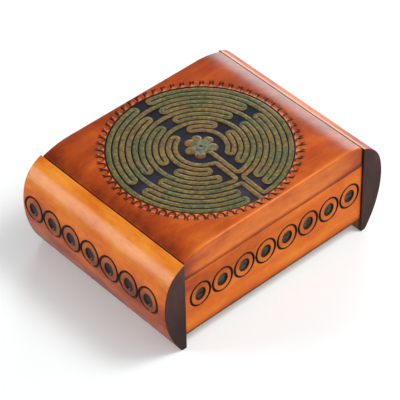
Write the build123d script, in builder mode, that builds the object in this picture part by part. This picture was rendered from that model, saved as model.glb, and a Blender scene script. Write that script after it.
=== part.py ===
"""Puzzle box: a small wooden keepsake box with a labyrinth carved in its lid.

The D-shaped cheeks on its two ends slide back on dovetail rails. Each one
uncovers an upright bolt that locks the hinged lid when it is pushed up.
Origin: on the surface that the box stands on, midway under it.
+X right along the front, +Y to the back, +Z up. Millimetres.
"""
import os

from build123d import *

os.makedirs("parts", exist_ok=True)

# Carcass
box_width = 133.0            # between the inner faces of the cheeks
box_depth = 116.6            # front face to back face
underside_height = 8.5       # lower edge of the panels
seam_height = 49.8           # top edge of the walls
panel_thickness = 9.0        # front and back panels
side_wall_thickness = 9.0
rebate_depth = 4.5           # the panels lap over the ends of the side walls
base_thickness = 5.0
base_recess = 2.5            # base board above the lower edge of the walls
base_tongue = 3.0            # base board let into the walls

# Lid
lid_thickness = 16.35
shoulder_width = 19.0
shoulder_drop = 3.6          # lid top to the ridge where its shoulder meets the cheek
lid_seam_gap = 0.15
lid_side_gap = 0.6           # lid to cheek
lid_edge_round = 0.8
lid_back_chamfer = 1.0

# Cheeks
cheek_bulge = 14.8           # greatest thickness
bulge_height = 36.5
bulge_radius = 45.0          # curve just above the bulge
bulge_angle = 15.0           # degrees of that curve, before the tighter crown
foot_width = 3.4
cheek_overhang = 1.2         # beyond the front and back faces
cheek_side_gap = 0.15        # cheek to side wall
cheek_travel = 37.0

# Dovetail rails and stop pins
rail_height = 10.0           # at the wall
rail_below_seam = 20.0       # seam to the middle of the rail
rail_flare = 2.0             # how much each side widens
rail_depth = 5.0
rail_back_setback = 5.3      # from the back face
rail_clearance = 0.15
rail_run_out = 1.0           # groove beyond the rail at full travel
groove_front_wall = 2.5      # left uncut at the cheek's front end
stop_pin_radius = 1.5
stop_pin_reach = 4.0         # beyond the side wall
stop_pin_setback = 38.3      # from the back face
stop_pin_below_seam = 5.3
slot_clearance = 0.2
rail_screw_radius = 1.25
rail_screw_head_radius = 2.5
rail_screw_bite = 3.5        # into the rail
rail_screw_inset = 11.0      # from the ends of the rail

# Burnt rings
ring_pitch = 16.0
ring_radius = 7.4            # middle of the outer groove
ring_groove_width = 1.0
ring_groove_depth = 0.9
eye_radius = 3.7             # sunk centre
eye_depth = 1.2
front_ring_count = 8
front_ring_below_seam = 17.8
front_ring_shift = 1.6       # the row stands a little to the right
cheek_ring_count = 7
cheek_ring_shift = 2.1       # the row stands a little to the back

# Labyrinth
circuit_count = 11
labyrinth_radius = 53.4
centre_radius = 12.7
groove_width = 0.9
carving_depth = 0.8
turn_tip_gap = 3.0           # tip of a turn to its axis
entry_tip_gap = 2.2          # tip of a turn to the entry path
rosette_reach = 10.2         # middle to the tip of a petal
rosette_heart_radius = 6.6
petal_radius = 3.2
petal_pairs = 3
first_petal_turn = 47.0      # degrees from the entry path
petal_spacing = 52.0         # degrees

# Bolts, keepers and strike plates
bolt_setback = 18.3          # from the front face
bolt_width = 12.0
bolt_thickness = 3.6
bolt_length = 28.8
bolt_cover = 3.15            # wall left inside the bolt
bolt_top_gap = 0.8           # below the seam at rest
bolt_travel = 6.5
bolt_clearance = 0.2
grip_stand_out = 1.9         # grips beyond the bolt's face
upper_grip_height = 3.4
grip_groove_radius = 0.6
keeper_below_seam = 10.8
keeper_height = 6.0
keeper_thickness = 1.0
keeper_length = 26.0
keeper_stop_gap = 0.1
plate_thickness = 0.8
plate_length = 24.0
plate_inner_margin = 1.5
plate_outer_margin = 1.0
small_screw_radius = 0.6
small_screw_head_radius = 1.1
small_screw_length = 5.0
small_screw_inset = 2.0      # from the end of the keeper or the plate

# Hinges
hinge_inset = 28.5           # middle of a hinge to the side of the box
hinge_width = 20.0
hinge_axis_inset = 0.4       # axis to the back face
knuckle_radius = 1.45
hinge_pin_radius = 0.7
hinge_pin_clearance = 0.05
knuckle_gap = 0.2
middle_knuckle = 7.0
leaf_thickness = 0.9
leaf_depth = 7.5
knuckle_clearance = 0.25
hinge_screw_spacing = 12.0
hinge_screw_setback = 4.6    # screws from the axis
hinge_screw_length = 7.0

# Derived places
half_width = box_width / 2
half_depth = box_depth / 2
wall_face = half_width - cheek_side_gap
lid_face = half_width - lid_side_gap
inner_x = wall_face - side_wall_thickness
inner_y = half_depth - panel_thickness
lid_underside = seam_height + lid_seam_gap
lid_top_height = lid_underside + lid_thickness
ridge_height = lid_top_height - shoulder_drop
cheek_end = half_depth + cheek_overhang
shoulder_radius = (shoulder_width**2 + shoulder_drop**2) / (2 * shoulder_drop)
circuit_width = (labyrinth_radius - centre_radius) / circuit_count
rail_middle = seam_height - rail_below_seam
rail_front = -cheek_end + groove_front_wall + rail_run_out + cheek_travel
rail_back = half_depth - rail_back_setback
rail_screw_places = (rail_front + rail_screw_inset, rail_back - rail_screw_inset)
stop_pin_y = half_depth - stop_pin_setback
stop_pin_height = seam_height - stop_pin_below_seam
front_ring_height = seam_height - front_ring_below_seam
bolt_y = bolt_setback - half_depth
bolt_top = seam_height - bolt_top_gap
bolt_bottom = bolt_top - bolt_length
bolt_inner_x = inner_x + bolt_cover
bolt_outer_x = bolt_inner_x + bolt_thickness
keeper_top = seam_height - keeper_below_seam
keeper_bottom = keeper_top - keeper_height
hinge_axis_y = half_depth - hinge_axis_inset
hinge_axis_z = seam_height + lid_seam_gap / 2
beyond = 1.0                 # cutters run past the faces they open


def keep(part, name):
    """Labels a finished piece and writes it."""
    part.label = name
    export_step(part, f"parts/{name}.step")


def keep_pair(part, name):
    """Writes the right-hand piece and its mirror image."""
    keep(part, f"right_{name}")
    keep(mirror(part, about=Plane.YZ), f"left_{name}")


def row(count, pitch, shift):
    """Centres of a row of equal steps, spread about a shift from the middle."""
    return [(i - (count - 1) / 2) * pitch + shift for i in range(count)]


def box_between(low, high, mode=Mode.ADD):
    """A box in the current part, from its lowest to its highest corner."""
    size = [b - a for a, b in zip(low, high)]
    middle = [(a + b) / 2 for a, b in zip(low, high)]
    with Locations(tuple(middle)):
        Box(*size, mode=mode)


def rod(start, direction, radius, length, mode=Mode.ADD):
    """A round bar or hole in the current part, from its start along a direction."""
    with BuildSketch(Plane(start, z_dir=direction)) as end:
        Circle(radius)
    extrude(end.sketch, amount=length, mode=mode)


def screw(start, direction, radius, head_radius, length, mode=Mode.ADD):
    """Countersunk screw, or its hole: head flush with its start, driven along a direction."""
    head = Plane(start, z_dir=direction)
    head_depth = head_radius - radius
    with BuildSketch(head) as wide:
        Circle(head_radius)
    with BuildSketch(head.offset(head_depth)) as narrow:
        Circle(radius)
    loft([wide.sketch, narrow.sketch], mode=mode)
    extrude(narrow.sketch, amount=length - head_depth, mode=mode)


# Base board: let into grooves all round
base_bottom = underside_height + base_recess
base_top = base_bottom + base_thickness
base_half_x = inner_x + base_tongue
base_half_y = inner_y + base_tongue
with BuildPart() as base_board:
    box_between((-base_half_x, -base_half_y, base_bottom), (base_half_x, base_half_y, base_top))
keep(base_board.part, "base_board")


# Front and back panels: rebated ends lap over the side walls
side_wall_end = half_depth - rebate_depth


def panel(ring_shift):
    """The front panel; the back panel is this one turned round."""
    cut_end = beyond - inner_y
    with BuildPart() as board:
        box_between((-wall_face, -half_depth, underside_height), (wall_face, -inner_y, seam_height))
        for side in (-1, 1):
            ends = sorted((side * inner_x, side * (wall_face + beyond)))
            box_between((ends[0], -side_wall_end, 0), (ends[1], cut_end, lid_top_height), Mode.SUBTRACT)
        box_between((-base_half_x, -base_half_y, base_bottom), (base_half_x, cut_end, base_top),
                    Mode.SUBTRACT)
        spots = [(x, front_ring_height) for x in row(front_ring_count, ring_pitch, ring_shift)]
        with BuildSketch(Plane.XZ.offset(half_depth)):
            with Locations(*spots):
                Circle(ring_radius + ring_groove_width / 2)
                Circle(ring_radius - ring_groove_width / 2, mode=Mode.SUBTRACT)
        extrude(amount=-ring_groove_depth, mode=Mode.SUBTRACT)
        with BuildSketch(Plane.XZ.offset(half_depth)):
            with Locations(*spots):
                Circle(eye_radius)
        extrude(amount=-eye_depth, mode=Mode.SUBTRACT)
    return board.part


front_panel = panel(front_ring_shift)
keep(front_panel, "front_panel")

hinge_x = half_width - hinge_inset
hinge_centres = (-hinge_x, hinge_x)
screw_offsets = (-hinge_screw_spacing / 2, hinge_screw_spacing / 2)
hinge_screw_y = hinge_axis_y - hinge_screw_setback


def hinge_mortises(low_z, high_z, screw_direction):
    """Cuts the leaf seats, knuckle hollows and screw holes of both hinges."""
    for x in hinge_centres:
        low = (x - hinge_width / 2, hinge_axis_y - leaf_depth, low_z)
        high = (x + hinge_width / 2, hinge_axis_y + knuckle_radius, high_z)
        box_between(low, high, Mode.SUBTRACT)
        hollow_width = hinge_width + 2 * knuckle_clearance
        rod((x - hollow_width / 2, hinge_axis_y, hinge_axis_z), (1, 0, 0),
            knuckle_radius + knuckle_clearance, hollow_width, Mode.SUBTRACT)
        for dx in screw_offsets:
            start = low_z if screw_direction < 0 else high_z
            rod((x + dx, hinge_screw_y, start), (0, 0, screw_direction),
                small_screw_radius, hinge_screw_length - leaf_thickness, Mode.SUBTRACT)


with BuildPart() as back_panel:
    add(panel(-front_ring_shift).rotate(Axis.Z, 180))
    hinge_mortises(seam_height - leaf_thickness, seam_height + beyond, -1)
keep(back_panel.part, "back_panel")


def rail_screw(y, mode=Mode.ADD):
    """Wood screw from inside the box through the side wall into the rail."""
    screw((inner_x, y, rail_middle), (1, 0, 0), rail_screw_radius, rail_screw_head_radius,
          side_wall_thickness + rail_screw_bite, mode)


# Side walls: carry the rail, the stop pin and the bolt channel
channel_half = bolt_width / 2 + bolt_clearance
keeper_inner_x = bolt_outer_x + bolt_clearance
keeper_middle = keeper_bottom + keeper_height / 2
keeper_screw_ys = [bolt_y + s * (keeper_length / 2 - small_screw_inset) for s in (-1, 1)]
with BuildPart() as side_wall:
    box_between((inner_x, -side_wall_end, underside_height), (wall_face, side_wall_end, seam_height))
    box_between((inner_x - beyond, -base_half_y, base_bottom), (base_half_x, base_half_y, base_top),
                Mode.SUBTRACT)
    box_between(
        (bolt_inner_x - bolt_clearance / 2, bolt_y - channel_half, bolt_bottom - bolt_clearance),
        (wall_face + beyond, bolt_y + channel_half, seam_height + beyond), Mode.SUBTRACT)
    box_between(
        (keeper_inner_x, bolt_y - keeper_length / 2, keeper_bottom),
        (wall_face + beyond, bolt_y + keeper_length / 2, keeper_top), Mode.SUBTRACT)
    rod((inner_x, stop_pin_y, stop_pin_height), (1, 0, 0),
        stop_pin_radius, side_wall_thickness, Mode.SUBTRACT)
    for y in rail_screw_places:
        rail_screw(y, Mode.SUBTRACT)
    for y in keeper_screw_ys:
        rod((keeper_inner_x, y, keeper_middle), (-1, 0, 0), small_screw_radius,
            small_screw_length - keeper_thickness, Mode.SUBTRACT)
keep_pair(side_wall.part, "side_wall")


# Dovetail rails: wider away from the wall, so that the cheeks can't lift off
def dovetail(start_x, depth, clearance, front, back, mode=Mode.ADD):
    """A dovetail bar along Y, from y = front to y = back."""
    root = rail_height / 2 + clearance
    tip = rail_height / 2 + rail_flare + clearance
    z = rail_middle
    with BuildSketch(Plane.XZ.offset(-back)) as section:
        with BuildLine():
            Polyline((start_x, z - root), (start_x + depth, z - tip), (start_x + depth, z + tip),
                     (start_x, z + root), close=True)
        make_face()
    extrude(section.sketch, amount=back - front, mode=mode)


with BuildPart() as rail:
    dovetail(wall_face, rail_depth, 0, rail_front, rail_back)
    for y in rail_screw_places:
        rod((wall_face, y, rail_middle), (1, 0, 0), rail_screw_radius, rail_screw_bite, Mode.SUBTRACT)
keep_pair(rail.part, "rail")


with BuildPart() as rail_screws:
    for y in rail_screw_places:
        rail_screw(y)
keep_pair(rail_screws.part, "rail_screws")

with BuildPart() as stop_pin:
    rod((inner_x, stop_pin_y, stop_pin_height), (1, 0, 0),
        stop_pin_radius, side_wall_thickness + stop_pin_reach)
keep_pair(stop_pin.part, "stop_pin")


# Cheeks: D-shaped blocks, hollowed for the rail and the stop pin
def shifted_cheek(shift, mode=Mode.ADD):
    """The plain cheek block, moved in by the shift."""
    face = half_width - shift
    bulge = (face + cheek_bulge, bulge_height)
    with BuildSketch(Plane.XZ.offset(-cheek_end)) as section:
        with BuildLine():
            flank = TangentArc(bulge, (face + foot_width, 0), tangent=(0, -1))
            side = JernArc(bulge, (0, 1), bulge_radius, bulge_angle)
            crown = TangentArc(side @ 1, (face, ridge_height), tangent=side % 1)
            Polyline(crown @ 1, (face, 0), flank @ 1)
        make_face()
    extrude(section.sketch, amount=2 * cheek_end, mode=mode)


cheek_ring_spots = [(y, bulge_height) for y in row(cheek_ring_count, ring_pitch, cheek_ring_shift)]


def ring_cutter(outer, inner, depth):
    """Rings that stand in the cheek's curved face to an even depth."""
    with BuildPart() as cutter:
        with BuildSketch(Plane.YZ.offset(half_width + cheek_bulge / 2)):
            with Locations(*cheek_ring_spots):
                Circle(outer)
                if inner:
                    Circle(inner, mode=Mode.SUBTRACT)
        extrude(amount=cheek_bulge)
        shifted_cheek(depth, Mode.SUBTRACT)
    return cutter.part


groove_cutter = ring_cutter(ring_radius + ring_groove_width / 2, ring_radius - ring_groove_width / 2,
                            ring_groove_depth)
eye_cutter = ring_cutter(eye_radius, 0, eye_depth)
with BuildPart() as cheek:
    shifted_cheek(0)
    dovetail(half_width, rail_depth + rail_clearance - cheek_side_gap, rail_clearance,
             rail_front - cheek_travel - rail_run_out, cheek_end + beyond, Mode.SUBTRACT)
    slot_half = stop_pin_radius + slot_clearance
    box_between(
        (half_width - beyond, stop_pin_y - cheek_travel - slot_half, stop_pin_height - slot_half),
        (wall_face + stop_pin_reach + slot_clearance, stop_pin_y + slot_half, stop_pin_height + slot_half),
        Mode.SUBTRACT)
    add(groove_cutter, mode=Mode.SUBTRACT)
    add(eye_cutter, mode=Mode.SUBTRACT)
keep_pair(cheek.part, "cheek")


# Bolts: slabs with two finger grips, which also stop against the keeper
with BuildPart() as bolt:
    bolt_sides = (bolt_y - bolt_width / 2, bolt_y + bolt_width / 2)
    grip_face = bolt_outer_x + grip_stand_out
    upper_grip_bottom = keeper_top + keeper_stop_gap
    lower_grip_top = keeper_bottom - bolt_travel - keeper_stop_gap
    box_between((bolt_inner_x, bolt_sides[0], bolt_bottom), (bolt_outer_x, bolt_sides[1], bolt_top))
    box_between((bolt_outer_x, bolt_sides[0], bolt_bottom), (grip_face, bolt_sides[1], lower_grip_top))
    box_between((bolt_outer_x, bolt_sides[0], upper_grip_bottom),
                (grip_face, bolt_sides[1], upper_grip_bottom + upper_grip_height))
    grip_grooves = (bolt_bottom + (lower_grip_top - bolt_bottom) / 3,
                    bolt_bottom + (lower_grip_top - bolt_bottom) * 2 / 3)
    with BuildSketch(Plane.XZ.offset(-bolt_sides[1])):
        with Locations(*[(grip_face, z) for z in grip_grooves]):
            Circle(grip_groove_radius)
    extrude(amount=bolt_width, mode=Mode.SUBTRACT)
keep_pair(bolt.part, "bolt")


# Keepers: brass straps across the bolt channels
def keeper_screw(y, mode=Mode.ADD):
    """Small screw through the keeper into the side wall."""
    screw((keeper_inner_x + keeper_thickness, y, keeper_middle), (-1, 0, 0), small_screw_radius,
          small_screw_head_radius, small_screw_length, mode)


with BuildPart() as bolt_keeper:
    box_between((keeper_inner_x, bolt_y - keeper_length / 2, keeper_bottom),
                (keeper_inner_x + keeper_thickness, bolt_y + keeper_length / 2, keeper_top))
    for y in keeper_screw_ys:
        keeper_screw(y, Mode.SUBTRACT)
keep_pair(bolt_keeper.part, "bolt_keeper")

with BuildPart() as keeper_screws:
    for y in keeper_screw_ys:
        keeper_screw(y)
keep_pair(keeper_screws.part, "keeper_screws")


# Strike plates: let into the underside of the lid above the bolts
strike_top = bolt_top + bolt_travel + bolt_clearance
plate_top = lid_underside + plate_thickness
strike_low = (bolt_inner_x - bolt_clearance, bolt_y - channel_half, lid_underside - beyond)
strike_high = (bolt_outer_x + bolt_clearance, bolt_y + channel_half, strike_top)
plate_low = (strike_low[0] - plate_inner_margin, bolt_y - plate_length / 2, lid_underside)
plate_high = (strike_high[0] + plate_outer_margin, bolt_y + plate_length / 2, plate_top)
strike_screw_x = (plate_low[0] + plate_high[0]) / 2
strike_screw_ys = [bolt_y + s * (plate_length / 2 - small_screw_inset) for s in (-1, 1)]


def strike_screw(x, y, mode=Mode.ADD):
    """Small screw up through a strike plate into the lid."""
    screw((x, y, lid_underside), (0, 0, 1), small_screw_radius, small_screw_head_radius,
          small_screw_length, mode)


with BuildPart() as strike_plate:
    box_between(plate_low, plate_high)
    box_between(strike_low, strike_high, Mode.SUBTRACT)
    for y in strike_screw_ys:
        strike_screw(strike_screw_x, y, Mode.SUBTRACT)
keep_pair(strike_plate.part, "strike_plate")

with BuildPart() as strike_screws:
    for x in (-strike_screw_x, strike_screw_x):
        for y in strike_screw_ys:
            strike_screw(x, y)
keep(strike_screws.part, "strike_screws")


# Hinges: brass butts let into the back panel and the lid
def hinge_leaf(x, low_z, high_z, knuckles, clear_zones, bore, screw_z, screw_direction):
    """One leaf with its knuckles; the other leaf's knuckles turn in the clear zones."""
    with BuildPart() as leaf:
        box_between((x - hinge_width / 2, hinge_axis_y - leaf_depth, low_z),
                    (x + hinge_width / 2, hinge_axis_y, high_z))
        for start, end in clear_zones:
            rod((x + start, hinge_axis_y, hinge_axis_z), (1, 0, 0), knuckle_radius + knuckle_clearance,
                end - start, Mode.SUBTRACT)
        for start, end in knuckles:
            rod((x + start, hinge_axis_y, hinge_axis_z), (1, 0, 0), knuckle_radius, end - start)
        rod((x - hinge_width / 2, hinge_axis_y, hinge_axis_z), (1, 0, 0), bore, hinge_width, Mode.SUBTRACT)
        for dx in screw_offsets:
            screw((x + dx, hinge_screw_y, screw_z), (0, 0, screw_direction),
                  small_screw_radius, small_screw_head_radius, hinge_screw_length, Mode.SUBTRACT)
    return leaf.part


half_hinge = hinge_width / 2
half_middle = middle_knuckle / 2
outer_start = half_middle + knuckle_gap
body_leaf = hinge_leaf(
    hinge_x, seam_height - leaf_thickness, seam_height, [(-half_middle, half_middle)],
    [(-half_hinge, -half_middle), (half_middle, half_hinge)], hinge_pin_radius, seam_height, -1)
keep_pair(body_leaf, "hinge_body_leaf")
lid_leaf = hinge_leaf(
    hinge_x, lid_underside, lid_underside + leaf_thickness,
    [(-half_hinge, -outer_start), (outer_start, half_hinge)], [(-outer_start, outer_start)],
    hinge_pin_radius + hinge_pin_clearance, lid_underside, 1)
keep_pair(lid_leaf, "hinge_lid_leaf")

with BuildPart() as hinge_pin:
    rod((hinge_x - half_hinge, hinge_axis_y, hinge_axis_z), (1, 0, 0), hinge_pin_radius, hinge_width)
keep_pair(hinge_pin.part, "hinge_pin")


def hinge_screws(start_z, direction):
    """The four screws of both leaves on one side of the seam."""
    with BuildPart() as screws:
        for x in hinge_centres:
            for dx in screw_offsets:
                screw((x + dx, hinge_screw_y, start_z), (0, 0, direction),
                      small_screw_radius, small_screw_head_radius, hinge_screw_length)
    return screws.part


keep(hinge_screws(seam_height, -1), "hinge_body_screws")
keep(hinge_screws(lid_underside, 1), "hinge_lid_screws")


# Labyrinth: eleven circuits, whose grooves stop short where the path turns back
def circle_of(k):
    """Radius of the groove between circuit k and circuit k + 1, counted from the rim."""
    return labyrinth_radius - k * circuit_width


def groove_ring(k, left=-2 * labyrinth_radius, right=2 * labyrinth_radius, front=False):
    """A groove all round, or the part of it between two places in x at the front."""
    with BuildSketch() as ring:
        Circle(circle_of(k) + groove_width / 2)
        Circle(circle_of(k) - groove_width / 2, mode=Mode.SUBTRACT)
        if front:
            with Locations(((left + right) / 2, -labyrinth_radius)):
                Rectangle(right - left, 2 * labyrinth_radius, mode=Mode.INTERSECT)
    return ring.sketch


turn_end_radius = circuit_width - groove_width / 2
turn_reach = turn_tip_gap + turn_end_radius
entry_reach = circuit_width + entry_tip_gap + turn_end_radius


def turn_field(outer, inner, turns, left, right, centres):
    """Sunk field between the round ends of turns, on the front radius."""
    with BuildSketch() as field:
        Circle(circle_of(outer) + groove_width / 2)
        Circle(circle_of(inner) - groove_width / 2, mode=Mode.SUBTRACT)
        with Locations(((left + right) / 2, -labyrinth_radius)):
            Rectangle(right - left, 2 * labyrinth_radius, mode=Mode.INTERSECT)
        for k in turns:
            for x in centres:
                with Locations((x, -(circle_of(k)**2 - x**2) ** 0.5)):
                    Circle(turn_end_radius, mode=Mode.SUBTRACT)
    return field.sketch


def front_line(x, outer, inner):
    """Straight groove beside the entry path."""
    with BuildSketch() as line:
        with Locations((x, -(circle_of(outer) + circle_of(inner)) / 2)):
            Rectangle(groove_width, circle_of(outer) - circle_of(inner) + groove_width)
    return line.sketch


# Grooves that stop at each axis, by its turn from the front; then what lies on each side of the
# entry path: its sunk fields (outer and inner groove, turns, side) and how many columns of the
# path each through groove stays away from the middle
axis_turns = {90: (3, 6, 9), 180: (1, 4, 7, 10), 270: (2, 5, 8)}
entry_fields = ((0, 4, (1, 3), -1), (6, 10, (7, 9), -1), (1, 5, (2, 4), 1), (7, 11, (8, 10), 1))
left_ends = {4: 1, 5: 0, 6: 1, 10: 1, 11: 0}
right_ends = {0: 0, 1: 1, 5: 1, 6: 0, 7: 1, 11: 1}
with BuildSketch(Plane.XY) as carving:
    for k in range(circuit_count + 1):
        add(groove_ring(k))
    for angle, turns in axis_turns.items():
        for k in turns:
            with BuildSketch(mode=Mode.PRIVATE) as gap:
                with Locations((0, -circle_of(k))):
                    Rectangle(2 * turn_reach, 2 * groove_width)
            add(gap.sketch.rotate(Axis.Z, angle), mode=Mode.SUBTRACT)
            field = turn_field(k - 1, k + 1, (k,), -turn_reach, turn_reach, (-turn_reach, turn_reach))
            add(field.rotate(Axis.Z, angle))
    with Locations((0, -(labyrinth_radius + centre_radius) / 2)):
        Rectangle(2 * entry_reach, labyrinth_radius - centre_radius + 2 * circuit_width, mode=Mode.SUBTRACT)
    for outer, inner, turns, side in entry_fields:
        ends = sorted((side * circuit_width, side * entry_reach))
        add(turn_field(outer, inner, turns, *ends, (side * entry_reach,)))
    for k, columns in left_ends.items():
        add(groove_ring(k, -entry_reach - beyond, -columns * circuit_width, True))
    for k, columns in right_ends.items():
        add(groove_ring(k, columns * circuit_width, entry_reach + beyond, True))
    add(front_line(0, 0, circuit_count))
    add(front_line(-circuit_width, 0, 4))
    add(front_line(-circuit_width, 6, 10))
    add(front_line(circuit_width, 1, 5))
    add(front_line(circuit_width, 7, circuit_count))

# Sunk field round the rosette, which the end of the path runs into
petal_turns = [side * (first_petal_turn + i * petal_spacing) for i in range(petal_pairs) for side in (-1, 1)]
with BuildSketch(Plane.XY) as centre_field:
    Circle(centre_radius)
    Circle(rosette_heart_radius, mode=Mode.SUBTRACT)
    for turn in petal_turns:
        with PolarLocations(rosette_reach - petal_radius, 1, start_angle=turn - 90):
            Circle(petal_radius, mode=Mode.SUBTRACT)
    with Locations((circuit_width / 2, -centre_radius)):
        Rectangle(circuit_width - groove_width, 2 * (centre_radius - rosette_heart_radius),
                  mode=Mode.SUBTRACT)


# Lid board: flat top with rounded shoulders that run on into the cheeks
flat_half = half_width - shoulder_width
lid_side_top = lid_top_height - shoulder_radius + (shoulder_radius**2 - (lid_face - flat_half) ** 2) ** 0.5
with BuildPart() as lid_board:
    with BuildSketch(Plane.XZ.offset(-half_depth)):
        with BuildLine():
            flat = Line((-flat_half, lid_top_height), (flat_half, lid_top_height))
            right_shoulder = TangentArc(flat @ 1, (lid_face, lid_side_top), tangent=(1, 0))
            left_shoulder = TangentArc(flat @ 0, (-lid_face, lid_side_top), tangent=(-1, 0))
            Polyline(right_shoulder @ 1, (lid_face, lid_underside), (-lid_face, lid_underside),
                     left_shoulder @ 1)
        make_face()
    extrude(amount=box_depth)
    end_edges = lid_board.edges().filter_by(lambda e: abs(abs(e.center().Y) - half_depth) < 0.01)
    fillet([e for e in end_edges if e.center().Z > lid_side_top], lid_edge_round)
    back_edge = lid_board.edges().filter_by(Axis.X).group_by(Axis.Z)[0].sort_by(Axis.Y)[-1]
    chamfer(back_edge, lid_back_chamfer)
    hinge_mortises(lid_underside - beyond, lid_underside + leaf_thickness, 1)
    for side in (-1, 1):
        for low, high in ((strike_low, strike_high), (plate_low, plate_high)):
            xs = sorted((side * low[0], side * high[0]))
            box_between((xs[0], *low[1:]), (xs[1], *high[1:]), Mode.SUBTRACT)
        for y in strike_screw_ys:
            rod((side * strike_screw_x, y, lid_underside), (0, 0, 1),
                small_screw_radius, small_screw_length, Mode.SUBTRACT)
    top = Location((0, 0, lid_top_height))
    for sunk in (carving, centre_field):
        extrude(sunk.sketch.moved(top), amount=-carving_depth, mode=Mode.SUBTRACT)
keep(lid_board.part, "lid_board")
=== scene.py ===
"""Puzzle box with a labyrinth carved in its lid: the finish of every piece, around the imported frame."""
import math

import bmesh
import bpy
import numpy as np
from mathutils import Matrix, Vector


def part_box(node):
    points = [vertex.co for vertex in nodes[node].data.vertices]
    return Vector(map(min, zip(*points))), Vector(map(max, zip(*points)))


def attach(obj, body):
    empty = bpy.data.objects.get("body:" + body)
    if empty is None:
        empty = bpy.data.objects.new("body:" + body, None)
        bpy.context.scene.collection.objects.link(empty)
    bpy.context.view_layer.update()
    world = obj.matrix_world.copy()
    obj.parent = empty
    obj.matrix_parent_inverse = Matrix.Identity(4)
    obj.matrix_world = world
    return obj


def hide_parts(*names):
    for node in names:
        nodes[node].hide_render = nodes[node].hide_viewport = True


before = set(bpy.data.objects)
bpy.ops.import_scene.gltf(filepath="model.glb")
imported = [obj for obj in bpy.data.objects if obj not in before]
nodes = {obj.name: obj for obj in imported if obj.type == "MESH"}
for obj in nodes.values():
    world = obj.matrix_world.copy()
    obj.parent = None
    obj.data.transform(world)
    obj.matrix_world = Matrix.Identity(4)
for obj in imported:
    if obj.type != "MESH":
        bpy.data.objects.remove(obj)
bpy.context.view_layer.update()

# Base board
# The bottom of the box is one thin board of pale lime wood, planed and left bare.
# It is let into grooves in the four walls as they are glued up.
mm = 0.001
X, Y, Z = 0, 1, 2


def srgb(red, green, blue):
    """A stain or paint, from 0 to 255, in the renderer's own light values."""
    shares = [c / 255 for c in (red, green, blue)]
    return [s / 12.92 if s < 0.04045 else ((s + 0.055) / 1.055) ** 2.4 for s in shares] + [1.0]


class Signal:
    """A value that runs through a tree of nodes, to reckon with by Python's own signs."""

    def __init__(self, socket):
        self.socket = socket
        self.tree = socket.id_data

    def __add__(self, other):
        return calc("ADD", self, other)

    def __sub__(self, other):
        return calc("SUBTRACT", self, other)

    def __mul__(self, other):
        return calc("MULTIPLY", self, other)

    def __truediv__(self, other):
        return calc("DIVIDE", self, other)

    def __rtruediv__(self, other):
        return calc("DIVIDE", other, self)

    def __lt__(self, other):
        return calc("LESS_THAN", self, other)

    def __gt__(self, other):
        return calc("GREATER_THAN", self, other)

    def __abs__(self):
        return calc("ABSOLUTE", self)


def plug(socket, value):
    """Links a node's input to a signal, or sets it to a plain value."""
    if isinstance(value, Signal):
        value.tree.links.new(value.socket, socket)
    else:
        socket.default_value = value


def add_node(tree, kind, values=None, **settings):
    """A node with its settings and its inputs' values."""
    made = tree.nodes.new(kind)
    for key, value in settings.items():
        setattr(made, key, value)
    for key, value in (values or {}).items():
        plug(made.inputs[key], value)
    return made


def result(tree, kind, values=None, output=0, **settings):
    """The signal from one output of a new node."""
    return Signal(add_node(tree, kind, values, **settings).outputs[output])


def calc(operation, *values):
    """The result of one sum on values, at least one of which is a signal."""
    tree = next(value.tree for value in values if isinstance(value, Signal))
    return result(tree, "ShaderNodeMath", dict(enumerate(values)), operation=operation)


def fade(value, start, end):
    """0 at start and 1 at end, smoothly, whichever is the larger."""
    return result(value.tree, "ShaderNodeMapRange", {"Value": value, "From Min": start, "From Max": end},
                  "Result", interpolation_type="SMOOTHSTEP")


def blend(share, first, second):
    """First colour where share is 0, second where it is 1."""
    return result(share.tree, "ShaderNodeMix", {0: share, 6: first, 7: second}, 2, data_type="RGBA")


def object_place(tree):
    """The place of each spot on the piece."""
    return result(tree, "ShaderNodeTexCoord", output="Object")


def pattern(tree, scale, detail=3.0, roughness=0.55):
    """Noise whose spots are 1/scale metres long along each axis."""
    place = result(tree, "ShaderNodeMapping", {"Vector": object_place(tree), "Scale": scale})
    return result(tree, "ShaderNodeTexNoise", {"Vector": place, "Scale": 1.0, "Detail": detail,
                                               "Roughness": roughness}, "Fac")


def attribute(tree, name):
    """A value kept on the piece's own points."""
    return result(tree, "ShaderNodeAttribute", output="Fac", attribute_name=name)


def new_material(name, roughness, coat=0.0, coat_roughness=0.1, metallic=0.0, gloss=0.5):
    """An empty material; its shader's even values are set here."""
    material = bpy.data.materials.new(name)
    material.use_nodes = True
    tree = material.node_tree
    shader = tree.nodes["Principled BSDF"]
    for label, value in (("Roughness", roughness), ("Coat Weight", coat), ("Coat Roughness", coat_roughness),
                         ("Metallic", metallic), ("Specular IOR Level", gloss)):
        shader.inputs[label].default_value = value
    return material, tree, shader


def add_bump(shader, height, strength, distance):
    """Makes a surface uneven by a height from 0 to 1."""
    bump = result(height.tree, "ShaderNodeBump", {
        "Height": height, "Strength": strength, "Distance": distance})
    plug(shader.inputs["Normal"], bump)


char = srgb(44, 25, 17)
wood_gloss = 0.03
wood_relief = 0.05 * mm


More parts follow.
